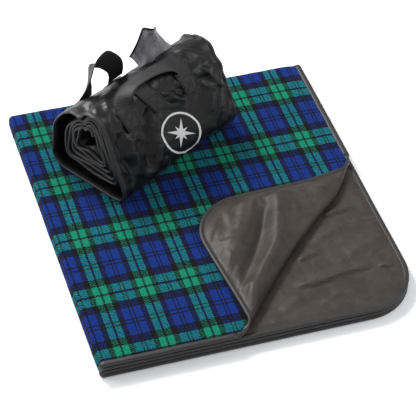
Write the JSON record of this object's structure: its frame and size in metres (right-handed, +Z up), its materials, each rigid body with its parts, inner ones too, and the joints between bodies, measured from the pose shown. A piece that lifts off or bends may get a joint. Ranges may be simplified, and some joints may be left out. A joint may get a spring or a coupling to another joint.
{
  "type": "camp blanket",
  "caption": "Tartan fleece blanket with nylon backing, folded in four with one corner turned back, and the same blanket packed as a carry roll with webbing handles.",
  "frame": {"origin": "on the floor, under the middle of the folded blanket", "axes": "+X to the open right edge, +Y to the folded back edge, +Z up from the floor"},
  "size_m": [0.597, 0.673, 0.2701],
  "materials": {
    "tartan_fleece": "brushed polyester fleece in a blue, green and black tartan",
    "nylon_backing": "coated plain-weave nylon, brown grey, soft sheen",
    "edge_binding": "folded polyester binding tape, matt black",
    "case_nylon": "coated nylon, black, wrinkled, soft sheen",
    "polyester_webbing": "ribbed black webbing, matt",
    "stitch_thread": "twisted polyester thread",
    "emblem_print": "white screen print"
  },
  "bodies": {
    "folded_blanket": {"backing_back_fold_inner": "nylon_backing", "backing_back_fold_outer": "nylon_backing", "backing_layer_1": "nylon_backing", "backing_layer_2": "nylon_backing", "backing_layer_3": "nylon_backing", "backing_layer_4": "nylon_backing", "backing_left_fold_lower": "nylon_backing", "backing_left_fold_upper": "nylon_backing", "binding_back_fold_inner": "edge_binding", "binding_back_fold_outer": "edge_binding", "binding_layer_1_front": "edge_binding", "binding_layer_1_right": "edge_binding", "binding_layer_2": "edge_binding", "binding_layer_3": "edge_binding", "binding_layer_4": "edge_binding", "fleece_back_fold_inner": "tartan_fleece", "fleece_back_fold_outer": "tartan_fleece", "fleece_layer_1": "tartan_fleece", "fleece_layer_2": "tartan_fleece", "fleece_layer_3": "tartan_fleece", "fleece_layer_4": "tartan_fleece", "fleece_left_fold_lower": "tartan_fleece", "fleece_left_fold_upper": "tartan_fleece"},
    "corner": {"corner_fleece": "tartan_fleece", "corner_backing": "nylon_backing", "corner_binding": "edge_binding"},
    "carry_roll": {"case_back_panel": "case_nylon", "case_end_panel": "case_nylon", "case_front_panel": "case_nylon", "case_left_binding": "edge_binding", "case_right_binding": "edge_binding", "printed_emblem": "emblem_print", "rolled_backing": "nylon_backing", "rolled_binding": "edge_binding", "rolled_fleece": "tartan_fleece", "strap_front_left": "polyester_webbing", "strap_front_left_stitching": "stitch_thread", "strap_front_middle": "polyester_webbing", "strap_front_middle_stitching": "stitch_thread", "strap_front_right": "polyester_webbing", "strap_front_right_stitching": "stitch_thread", "strap_rear_left": "polyester_webbing", "strap_rear_left_stitching": "stitch_thread", "strap_rear_right": "polyester_webbing", "strap_rear_right_stitching": "stitch_thread"},
    "front_handle": {"front_handle": "polyester_webbing"},
    "rear_handle": {"rear_handle": "polyester_webbing"},
    "closure_flap": {"closure_flap": "case_nylon", "closure_flap_hem": "case_nylon"}
  },
  "joints": [
    {"name": "corner_unfold", "type": "hinge", "parent": "folded_blanket", "child": "corner", "pos_m": [-0.052, -0.3365, 0.03585], "axis": [0.6737, 0.739, 0], "range_deg": [0, 180]},
    {"name": "roll_lift", "type": "slide", "parent": "folded_blanket", "child": "carry_roll", "axis": [0, 0, 1], "range_m": [0, 0.3]},
    {"name": "front_handle_swing", "type": "hinge", "parent": "carry_roll", "child": "front_handle", "pos_m": [-0.05669, 0.14593, 0.193], "axis": [0.848, 0.5299, 0], "range_deg": [0, 170]},
    {"name": "rear_handle_swing", "type": "hinge", "parent": "carry_roll", "child": "rear_handle", "pos_m": [-0.15431, 0.21346, 0.155], "axis": [-0.848, -0.5299, 0], "range_deg": [0, 160]},
    {"name": "closure_flap_swing", "type": "hinge", "parent": "carry_roll", "child": "closure_flap", "pos_m": [-0.0482, 0.255, 0.179], "axis": [-0.848, -0.5299, 0], "range_deg": [0, 145]}
  ]
}
